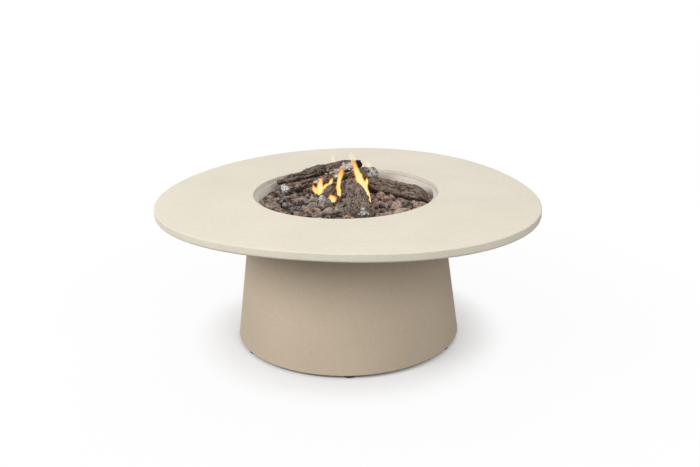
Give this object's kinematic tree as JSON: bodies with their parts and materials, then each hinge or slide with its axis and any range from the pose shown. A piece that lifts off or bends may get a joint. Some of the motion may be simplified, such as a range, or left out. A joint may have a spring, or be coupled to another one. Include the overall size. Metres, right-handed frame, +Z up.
{
  "type": "gas fire pit table",
  "caption": "Low gas fire pit table: pebble-shaped concrete top on a tapered round base, with a lava rock bowl, ceramic logs, ring burner and rear controls.",
  "frame": {"origin": "on the floor, under the middle of the round base and fire opening", "axes": "+Z up, -Y towards the front, +Y towards the rear controls"},
  "size_m": [1.1286, 1.143, 0.5257],
  "materials": {
    "sand_concrete_top": "honed",
    "sand_concrete_base": "honed",
    "clear_rubber": "soft",
    "black_rubber": "soft",
    "brass": "machined",
    "copper": "drawn",
    "stainless": "brushed",
    "stainless_hose": "corrugated",
    "zinc_steel": "plated",
    "spring_steel": "drawn",
    "cast_aluminium": "cast",
    "black_plastic": "matte",
    "red_plastic": "gloss",
    "battery_jacket": "gloss",
    "white_ceramic": "glazed",
    "grey_lava": "porous",
    "brown_lava": "porous",
    "red_lava": "porous",
    "charred_log": "charred bark"
  },
  "bodies": {
    "table": {"table_top": "sand_concrete_top", "base_shell": "sand_concrete_base", "top_seat_pads": "clear_rubber", "foot_inserts": "brass", "burner_pan": "stainless", "burner_ring": "stainless", "burner_nut": "zinc_steel", "air_mixer": "brass", "gas_jet": "brass", "burner_hose": "stainless_hose", "control_panel": "stainless", "panel_gasket": "black_rubber", "panel_screws": "zinc_steel", "gas_valve": "cast_aluminium", "valve_nut": "zinc_steel", "valve_spring": "spring_steel", "igniter_body": "black_plastic", "igniter_nut": "black_plastic", "igniter_spring": "spring_steel", "igniter_battery": "battery_jacket", "gas_inlet": "brass", "gas_inlet_nut": "brass", "inlet_tube": "copper", "pilot_bracket": "stainless", "pilot_screws": "zinc_steel", "spark_electrode": "white_ceramic", "electrode_rod": "spring_steel", "igniter_lead": "black_rubber", "thermocouple": "spring_steel", "thermocouple_lead": "copper", "log_right": "charred_log", "log_stub": "charred_log", "log_back": "charred_log", "log_middle": "charred_log", "log_front": "charred_log", "log_top": "charred_log", "lava_rocks_grey": "grey_lava", "lava_rocks_brown": "brown_lava", "lava_rocks_red": "red_lava"},
    "valve_plunger": {"valve_plunger": "brass"},
    "control_knob": {"valve_spindle": "spring_steel", "control_knob": "black_plastic"},
    "igniter_button": {"igniter_button": "red_plastic"},
    "air_shutter": {"air_shutter": "zinc_steel"},
    "levelling_foot_1": {"foot_pad_1": "black_plastic", "foot_stud_1": "zinc_steel"},
    "levelling_foot_2": {"foot_pad_2": "black_plastic", "foot_stud_2": "zinc_steel"},
    "levelling_foot_3": {"foot_pad_3": "black_plastic", "foot_stud_3": "zinc_steel"},
    "levelling_foot_4": {"foot_pad_4": "black_plastic", "foot_stud_4": "zinc_steel"},
    "levelling_foot_5": {"foot_pad_5": "black_plastic", "foot_stud_5": "zinc_steel"},
    "levelling_foot_6": {"foot_pad_6": "black_plastic", "foot_stud_6": "zinc_steel"}
  },
  "joints": [
    {"name": "knob_push", "type": "slide", "parent": "table", "child": "valve_plunger", "axis": [0, -0.9906, -0.1369], "range_m": [0, 0.004], "stiffness_N_per_m": 1200, "deforming": ["valve_spring"]},
    {"name": "knob_turn", "type": "hinge", "parent": "valve_plunger", "child": "control_knob", "pos_m": [0, 0.32047, 0.20726], "axis": [0, 0.9906, 0.1369], "range_deg": [0, 180]},
    {"name": "igniter_press", "type": "slide", "parent": "table", "child": "igniter_button", "axis": [0, -0.9906, -0.1369], "range_m": [0, 0.003], "stiffness_N_per_m": 1500, "deforming": ["igniter_spring"]},
    {"name": "shutter_turn", "type": "hinge", "parent": "table", "child": "air_shutter", "pos_m": [0, 0, 0.34], "axis": [0, 0, 1], "range_deg": [0, 45]},
    {"name": "foot_1_level", "type": "slide", "parent": "table", "child": "levelling_foot_1", "axis": [0, 0, -1], "range_m": [0, 0.012]},
    {"name": "foot_2_level", "type": "slide", "parent": "table", "child": "levelling_foot_2", "axis": [0, 0, -1], "range_m": [0, 0.012]},
    {"name": "foot_3_level", "type": "slide", "parent": "table", "child": "levelling_foot_3", "axis": [0, 0, -1], "range_m": [0, 0.012]},
    {"name": "foot_4_level", "type": "slide", "parent": "table", "child": "levelling_foot_4", "axis": [0, 0, -1], "range_m": [0, 0.012]},
    {"name": "foot_5_level", "type": "slide", "parent": "table", "child": "levelling_foot_5", "axis": [0, 0, -1], "range_m": [0, 0.012]},
    {"name": "foot_6_level", "type": "slide", "parent": "table", "child": "levelling_foot_6", "axis": [0, 0, -1], "range_m": [0, 0.012]}
  ]
}
